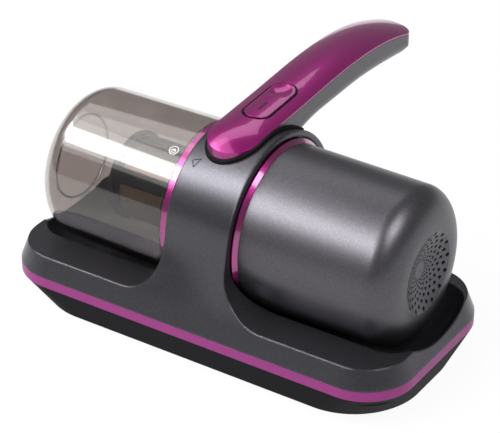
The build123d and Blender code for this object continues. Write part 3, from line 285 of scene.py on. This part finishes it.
# ---------------------------------------------------------------- finishes
GUNMETAL = moulded("gunmetal_satin", colour(73, 72, 77), 0.29, metallic=0.85,
                   fleck=colour(140, 140, 146), fleck_amount=0.13, fleck_scale=2500.0,
                   grain=0.03, edge=0.0015)
CANISTER = moulded("gunmetal_canister", colour(84, 82, 87), 0.36, metallic=0.85,
                   fleck=colour(150, 150, 156), fleck_amount=0.14, fleck_scale=2500.0,
                   grain=0.03, edge=0.0005)
HANDLE_GREY = moulded("handle_grey", colour(84, 84, 88), 0.32, metallic=0.70,
                      fleck=colour(150, 150, 156), fleck_amount=0.08, fleck_scale=5200.0,
                      grain=0.03, edge=0.0006)
STRIP = moulded("magenta_strip", colour(132, 36, 110), 0.42, metallic=0.30,
                fleck=colour(190, 100, 170), fleck_amount=0.08, fleck_scale=5200.0,
                grain=0.03, edge=0.0003)
RING = moulded("magenta_ring", colour(150, 28, 112), 0.27, metallic=0.95, grain=0.0,
               drift=0.03, edge=0.0005, coat=1.0, coat_roughness=0.09, coat_ior=1.8)
COVER = moulded("magenta_gloss", colour(150, 12, 112), 0.28, metallic=0.75, grain=0.0,
                drift=0.04, edge=0.0007, coat=1.0, coat_roughness=0.05, coat_ior=1.5)
BLACK_SKIRT = moulded("black_skirt", colour(17, 16, 20), 0.60, specular=0.06, grain=0.05,
                      edge=0.0008)
BLACK = moulded("black_plastic", colour(12, 12, 13), 0.34, specular=0.14, grain=0.02)
RUBBER = moulded("black_rubber", colour(15, 15, 16), 0.75, specular=0.12, grain=0.15)
TREAD = moulded("grey_tread", colour(52, 52, 54), 0.8, specular=0.3, grain=0.2)
FELT = moulded("felt", colour(60, 60, 64), 0.95, specular=0.1, grain=0.9, grain_scale=2600.0)
FOAM = moulded("foam", colour(9, 9, 10), 0.95, specular=0.1, grain=1.0, grain_scale=900.0)
PAPER = moulded("filter_paper", colour(205, 200, 190), 0.9, specular=0.2, grain=0.25)
BRISTLE = moulded("bristle", colour(62, 62, 68), 0.6, grain=0.3)
STEEL = moulded("steel", colour(190, 190, 190), 0.3, metallic=1.0, grain=0.03, edge=0.0003)
MESH_WIRE = moulded("mesh_wire", colour(150, 128, 102), 0.42, metallic=0.9,
                    fleck=colour(52, 42, 34), fleck_amount=0.9, fleck_scale=2600.0,
                    grain=0.5, grain_scale=3200.0, edge=0.0)
REFLECTOR = moulded("bright_reflector", colour(225, 225, 228), 0.12, metallic=1.0, grain=0.0)
BOARD = moulded("green_board", colour(28, 92, 48), 0.35, grain=0.03)
CELLS = moulded("cell_sleeve", colour(40, 92, 150), 0.35, grain=0.02)
MARK_DARK = moulded("dark_mark", colour(20, 16, 20), 0.5, grain=0.0, edge=0.0)
# Painted shade: the arrow's engraved outline is laid as a flat dark stroke whose dark stands for
# the shade in its groove.
ARROW_GROOVE_SHADE = moulded("arrow_groove_painted_shade", colour(24, 24, 26), 0.6, specular=0.1, grain=0.0,
                        edge=0.0)
MARK_PALE = moulded("pale_mark", colour(232, 230, 230), 0.5, grain=0.0, edge=0.0)
SMOKED = clear_plastic("smoked_clear", (0.52, 0.470, 0.45, 1.0), roughness=0.03, ior=1.52,
                       coat=0.4)
WINDOW = clear_plastic("clear_window", (0.95, 0.95, 0.96, 1.0))
LAMP_GLASS = clear_plastic("lamp_glass", (0.90, 0.88, 0.97, 1.0))

FINISH_OF_SLOT = {
    "shell": GUNMETAL, "trim": STRIP, "ring": RING, "cover": COVER, "skirt": BLACK_SKIRT,
    "black": BLACK, "clear": SMOKED, "window": WINDOW, "housing": CANISTER, "handle": HANDLE_GREY,
    "button": COVER, "mesh": MESH_WIRE, "paper": PAPER, "foam": FOAM, "felt": FELT,
    "bristle": BRISTLE, "rubber": RUBBER, "tread": TREAD, "steel": STEEL, "reflector": REFLECTOR,
    "board": BOARD, "cells": CELLS, "lamp": LAMP_GLASS,
}


def dress_cad_nodes():
    """Give every CAD node the finish of its slot."""
    for part in frame["record"]["subparts"]:
        node = nodes[part["node"]]
        finish = FINISH_OF_SLOT[part["material_slot"]]
        if node.material_slots:
            for held in node.material_slots:
                held.material = finish
        else:
            node.data.materials.append(finish)


# ---------------------------------------------------------------- repeated pieces
def make(tree, kind, settings, fed):
    """New node's first output; its settings are set, its inputs get a link or a plain value."""
    node = tree.nodes.new(kind)
    for name, value in settings.items():
        setattr(node, name, value)
    for key, value in fed.items():
        if isinstance(value, bpy.types.NodeSocket):
            tree.links.new(value, node.inputs[key])
        else:
            node.inputs[key].default_value = value
    return node.outputs[0]


def math_step(tree, operation, first, second=0.0):
    """One Math node."""
    return make(tree, "ShaderNodeMath", {"operation": operation}, {0: first, 1: second})


def geometry_tree(name, inputs):
    """Geometry Nodes group with named inputs and one geometry output."""
    tree = bpy.data.node_groups.new(name, "GeometryNodeTree")
    for label, kind, default in inputs:
        socket = tree.interface.new_socket(label, in_out="INPUT", socket_type=kind)
        if default is not None:
            socket.default_value = default
    tree.interface.new_socket("Geometry", in_out="OUTPUT", socket_type="NodeSocketGeometry")
    return tree, tree.nodes.new("NodeGroupInput").outputs, tree.nodes.new("NodeGroupOutput").inputs


def grown_piece(name, tree, values):
    """Plain mesh object made by a Geometry Nodes group with the given inputs."""
    carrier = new_object(name + "_carrier", bpy.data.meshes.new(name + "_carrier"))
    modifier = carrier.modifiers.new("grow", "NODES")
    modifier.node_group = tree
    for item in tree.interface.items_tree:
        if item.in_out == "INPUT" and item.name in values:
            modifier[item.identifier] = values[item.name]
    made = carrier.evaluated_get(bpy.context.evaluated_depsgraph_get())
    mesh = bpy.data.meshes.new_from_object(made)
    mesh.name = name
    carrier.modifiers.remove(modifier)
    bpy.data.objects.remove(carrier)
    return new_object(name, mesh)


def bristle_tree():
    """Tufts of thin bristles on winding rows round a roller that lies along X."""
    tree, given, result = geometry_tree("bristle_rows", [
        ("Start", "NodeSocketVector", (0, 0, 0)), ("Length", "NodeSocketFloat", 0.15),
        ("Rows", "NodeSocketInt", 4), ("Tufts", "NodeSocketInt", 50),
        ("Turn", "NodeSocketFloat", 2.6), ("Root Radius", "NodeSocketFloat", 0.007),
        ("Tip Radius", "NodeSocketFloat", 0.0115), ("Tuft Radius", "NodeSocketFloat", 0.0009),
        ("Bristles", "NodeSocketInt", 11), ("Bristle Radius", "NodeSocketFloat", 0.00013),
        ("Seed", "NodeSocketInt", 3), ("Material", "NodeSocketMaterial", None)])
    total = math_step(tree, "MULTIPLY", given["Rows"], given["Tufts"])
    places = make(tree, "GeometryNodePoints", {}, {"Count": total})
    index = make(tree, "GeometryNodeInputIndex", {}, {})
    row = math_step(tree, "FLOOR", math_step(tree, "DIVIDE", index, given["Tufts"]))
    step = math_step(tree, "MODULO", index, given["Tufts"])
    share = math_step(tree, "DIVIDE", step, math_step(tree, "SUBTRACT", given["Tufts"], 1.0))
    row_share = math_step(tree, "DIVIDE", row, given["Rows"])
    row_angle = math_step(tree, "MULTIPLY", row_share, 2 * math.pi)
    angle = math_step(tree, "ADD", row_angle, math_step(tree, "MULTIPLY", share, given["Turn"]))
    outward = make(tree, "ShaderNodeCombineXYZ", {}, {
        "Y": math_step(tree, "SINE", angle), "Z": math_step(tree, "COSINE", angle)})
    along = make(tree, "ShaderNodeCombineXYZ", {}, {
        "X": math_step(tree, "MULTIPLY", share, given["Length"])})
    root = make(tree, "ShaderNodeVectorMath", {"operation": "SCALE"},
                {0: outward, "Scale": given["Root Radius"]})
    spot = make(tree, "ShaderNodeVectorMath", {"operation": "ADD"}, {0: root, 1: along})
    spot = make(tree, "ShaderNodeVectorMath", {"operation": "ADD"}, {0: spot, 1: given["Start"]})
    placed = make(tree, "GeometryNodeSetPosition", {}, {"Geometry": places, "Position": spot})
    height = math_step(tree, "SUBTRACT", given["Tip Radius"], given["Root Radius"])
    thin = math_step(tree, "MULTIPLY", given["Bristle Radius"], BRISTLE_TIP_SHARE)
    hair = make(tree, "GeometryNodeMeshCone", {}, {
        "Vertices": BRISTLE_SIDES, "Radius Top": thin,
        "Radius Bottom": given["Bristle Radius"], "Depth": height})
    roots = make(tree, "GeometryNodePoints", {}, {"Count": given["Bristles"]})
    low = make(tree, "ShaderNodeVectorMath", {"operation": "SCALE"},
               {0: (-1.0, -1.0, 0.0), "Scale": given["Tuft Radius"]})
    high = make(tree, "ShaderNodeVectorMath", {"operation": "SCALE"},
                {0: (1.0, 1.0, 0.0), "Scale": given["Tuft Radius"]})
    spread = make(tree, "FunctionNodeRandomValue", {"data_type": "FLOAT_VECTOR"},
                  {0: low, 1: high, "Seed": given["Seed"]})
    roots = make(tree, "GeometryNodeSetPosition", {}, {"Geometry": roots, "Position": spread})
    lean = make(tree, "FunctionNodeRandomValue", {"data_type": "FLOAT_VECTOR"},
                {0: (-BRISTLE_LEAN, -BRISTLE_LEAN, 0.0),
                 1: (BRISTLE_LEAN, BRISTLE_LEAN, BRISTLE_TWIST),
                 "Seed": math_step(tree, "ADD", given["Seed"], LEAN_SEED_STEP)})
    tuft = make(tree, "GeometryNodeInstanceOnPoints", {},
                {"Points": roots, "Instance": hair, "Rotation": lean})
    tuft = make(tree, "GeometryNodeRealizeInstances", {}, {"Geometry": tuft})
    turned = make(tree, "FunctionNodeAlignRotationToVector", {"axis": "Z"}, {"Vector": outward})
    rows = make(tree, "GeometryNodeInstanceOnPoints", {},
                {"Points": placed, "Instance": tuft, "Rotation": turned})
    whole = make(tree, "GeometryNodeRealizeInstances", {}, {"Geometry": rows})
    tree.links.new(make(tree, "GeometryNodeSetMaterial", {}, {
        "Geometry": whole, "Material": given["Material"]}), result["Geometry"])
    return tree


def add_bristles():
    """Bristle tufts in place of the roller's plain strips."""
    low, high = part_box("bristle_strips")
    core_low, core_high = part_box("brush_core")
    axis = (core_low + core_high) / 2
    reach = min(high.y - axis.y, axis.z - low.z)
    core = (core_high.z - core_low.z) / 2
    piece = grown_piece("bristle_tufts", bristle_tree(), {
        "Start": Vector((low.x + ROW_END_GAP, axis.y, axis.z)),
        "Length": high.x - low.x - 2 * ROW_END_GAP, "Rows": BRISTLE_ROWS,
        "Tufts": TUFTS_PER_ROW, "Turn": ROW_TURN, "Root Radius": core - ROOT_DEPTH,
        "Tip Radius": reach, "Material": BRISTLE})
    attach(piece, "brush")
    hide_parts("bristle_strips")


# ---------------------------------------------------------------- marks laid on the mouldings
def closed_path(points):
    """Path that returns to its first point."""
    return points + points[:1]


def circle_path(radius, steps=40, start=0.0, sweep=2 * math.pi):
    """Points of a circle or an arc in the mark's own plane."""
    angles = [start + sweep * i / steps for i in range(steps + 1)]
    return [(radius * math.cos(angle), radius * math.sin(angle)) for angle in angles]


def finer_path(path, step):
    """Path with points added so that no run is longer than the step."""
    fine = [path[0]]
    for (x0, y0), (x1, y1) in zip(path, path[1:]):
        count = max(1, math.ceil(math.hypot(x1 - x0, y1 - y0) / step))
        fine += [(x0 + (x1 - x0) * i / count, y0 + (y1 - y0) * i / count)
                 for i in range(1, count + 1)]
    return fine


def stroke_quads(path, width):
    """Left and right edge points along a stroke."""
    pairs = []
    closed = math.dist(path[0], path[-1]) < 1e-9
    for i, (x, y) in enumerate(path):
        before = path[i - 1] if i else (path[-2] if closed else path[0])
        after = path[i + 1] if i + 1 < len(path) else (path[1] if closed else path[-1])
        run = Vector((after[0] - before[0], after[1] - before[1])).normalized() * width / 2
        pairs.append(((x - run.y, y + run.x), (x + run.y, y - run.x)))
    return pairs


def laid_mark(name, node, strokes, width, origin, right, up, finish, body):
    """Thin strokes on a node, dropped on its surface along the mark's own axis."""
    right, up = Vector(right).normalized(), Vector(up).normalized()
    out = right.cross(up)
    surface = BVHTree.FromObject(nodes[node], bpy.context.evaluated_depsgraph_get())

    def landed(x, y):
        start = Vector(origin) + right * x + up * y + out * MARK_START_HEIGHT
        hit, normal, _, _ = surface.ray_cast(start, -out)
        return hit + normal * MARK_LIFT

    def draw(bm):
        for path in strokes:
            rows = [[bm.verts.new(landed(x, y)) for x, y in pair]
                    for pair in stroke_quads(finer_path(path, MARK_STEP), width)]
            for (a, b), (c, d) in zip(rows, rows[1:]):
                bm.faces.new((a, b, d, c))
        bmesh.ops.recalc_face_normals(bm, faces=bm.faces)

    piece = new_object(name, mesh_from(name, draw))
    face = piece.data.polygons[0]
    if face.normal.dot(out) < 0:
        piece.data.flip_normals()
    piece.data.materials.append(finish)
    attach(piece, body)
    return piece


def add_marks():
    """Power line on the button, arrow on the collar drawn in painted groove shade, lock sign and
    end seam on the cup.
    """
    button_low, button_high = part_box("power_button")
    middle = (button_low + button_high) / 2
    power = laid_mark("power_mark", "power_button", [POWER_LINE], POWER_LINE_WIDTH,
                      (middle.x, button_low.y + POWER_LINE_FROM_EDGE, middle.z),
                      (1, 0, 0), (0, 1, BUTTON_SLOPE), MARK_DARK, "button")
    # The arrow is a dark stroke: painted shade for its engraved groove.
    arrow_mark = laid_mark("arrow_mark", "body_shell", [closed_path(ARROW_CORNERS)], ARROW_WIDTH,
                           (ARROW_X, ARROW_Y, AXIS_Z + ARROW_ABOVE_AXIS),
                           (1, 0, 0), (0, math.cos(ARROW_TURN), math.sin(ARROW_TURN)),
                           ARROW_GROOVE_SHADE, "main_body")
    lock = [circle_path(LOCK_DISC_RADIUS),
            circle_path(LOCK_SHACKLE_RADIUS, steps=14, sweep=math.pi), closed_path(LOCK_BODY)]
    lock_mark = laid_mark("lock_mark", "dust_cup", lock, LOCK_WIDTH,
                          (LOCK_X, LOCK_Y, AXIS_Z + LOCK_ABOVE_AXIS),
                          (1, 0, 0), (0, math.cos(LOCK_TURN), math.sin(LOCK_TURN)),
                          MARK_PALE, "cup")
    seam = laid_mark("cup_seam_line", "dust_cup", [circle_path(SEAM_RADIUS, steps=120)],
                     SEAM_WIDTH, (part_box("dust_cup")[0].x, 0, AXIS_Z),
                     (0, -1, 0), (0, 0, 1), MARK_DARK, "cup")


# ---------------------------------------------------------------- camera, lamps and floor
def camera_axes():
    """Right, up and backward directions of the camera."""
    sin_a, cos_a = math.sin(CAMERA_AZIMUTH), math.cos(CAMERA_AZIMUTH)
    sin_e, cos_e = math.sin(CAMERA_HEIGHT), math.cos(CAMERA_HEIGHT)
    right = Vector((cos_a, sin_a, 0))
    back = Vector((sin_a * cos_e, -cos_a * cos_e, sin_e))
    return right, back.cross(right), back


def add_camera():
    """Camera that looks down on the front right of the machine."""
    right, up, back = camera_axes()
    data = bpy.data.cameras.new("camera")
    data.sensor_fit = "HORIZONTAL"
    data.sensor_width = SENSOR_WIDTH
    data.lens = CAMERA_LENS
    data.clip_start = CAMERA_NEAR
    data.clip_end = CAMERA_FAR
    camera = bpy.data.objects.new("camera", data)
    bpy.context.scene.collection.objects.link(camera)
    place = right * AIM_RIGHT + up * AIM_UP + back * CAMERA_DISTANCE
    turn = Matrix((right, up, back)).transposed().to_4x4()
    camera.matrix_world = Matrix.Translation(place) @ turn
    bpy.context.scene.camera = camera


def add_softbox(name, direction, distance, width, height, power):
    """Rectangular lamp that faces the machine; its width runs level."""
    data = bpy.data.lights.new(name, "AREA")
    data.shape = "RECTANGLE"
    data.size = width
    data.size_y = height
    data.energy = power
    lamp = bpy.data.objects.new(name, data)
    bpy.context.scene.collection.objects.link(lamp)
    away = Vector(direction).normalized()
    lamp.location = LAMP_AIM + away * distance
    lamp.rotation_mode = "QUATERNION"
    lamp.rotation_quaternion = away.to_track_quat("Z", "Y")


def sees_white(tree):
    """1 for camera, glossy and transmission rays, else 0."""
    path = tree.nodes.new("ShaderNodeLightPath")
    socket = path.outputs["Is Camera Ray"]
    for ray in ("Is Glossy Ray", "Is Transmission Ray"):
        either = tree.nodes.new("ShaderNodeMath")
        either.operation = "MAXIMUM"
        tree.links.new(socket, either.inputs[0])
        tree.links.new(path.outputs[ray], either.inputs[1])
        socket = either.outputs[0]
    return socket


def set_world():
    """Even, dim white surroundings."""
    world = bpy.data.worlds.new("studio")
    bpy.context.scene.world = world
    world.use_nodes = True
    room = world.node_tree.nodes["Background"]
    set_inputs(room, {"Color": (1, 1, 1, 1), "Strength": ROOM_STRENGTH})


def add_floor():
    """Plain pale floor that keeps the machine's shadow."""
    def square(bm):
        bmesh.ops.create_grid(bm, x_segments=1, y_segments=1, size=FLOOR_REACH)
        bmesh.ops.translate(bm, verts=bm.verts, vec=(0, 0, -FLOOR_DROP))

    floor = new_object("floor", mesh_from("floor", square))
    material, add, link, shader = plain_shader("floor")
    set_inputs(shader, {"Base Color": (FLOOR_GREY, FLOOR_GREY, FLOOR_GREY, 1),
                        "Roughness": FLOOR_ROUGHNESS})
    glow = add.new("ShaderNodeEmission")
    set_inputs(glow, {"Color": (1, 1, 1, 1), "Strength": 1.0})
    share = add.new("ShaderNodeMath")
    share.operation = "MULTIPLY"
    share.inputs[1].default_value = FLOOR_WHITE_SHARE
    link.new(sees_white(material.node_tree), share.inputs[0])
    mixed = add.new("ShaderNodeMixShader")
    link.new(share.outputs[0], mixed.inputs["Fac"])
    link.new(shader.outputs["BSDF"], mixed.inputs[1])
    link.new(glow.outputs["Emission"], mixed.inputs[2])
    link.new(mixed.outputs["Shader"], add["Material Output"].inputs["Surface"])
    floor.data.materials.append(material)


def light_studio():
    """Three nested softboxes at the front left, a dim one over the back, a small one at right."""
    for name, direction, distance, width, height, power in SOFTBOXES:
        add_softbox(name, direction, distance, width, height, power)


bpy.context.scene.view_settings.view_transform = "Standard"
dress_cad_nodes()
add_bristles()
add_marks()
add_camera()
set_world()
add_floor()
light_studio()
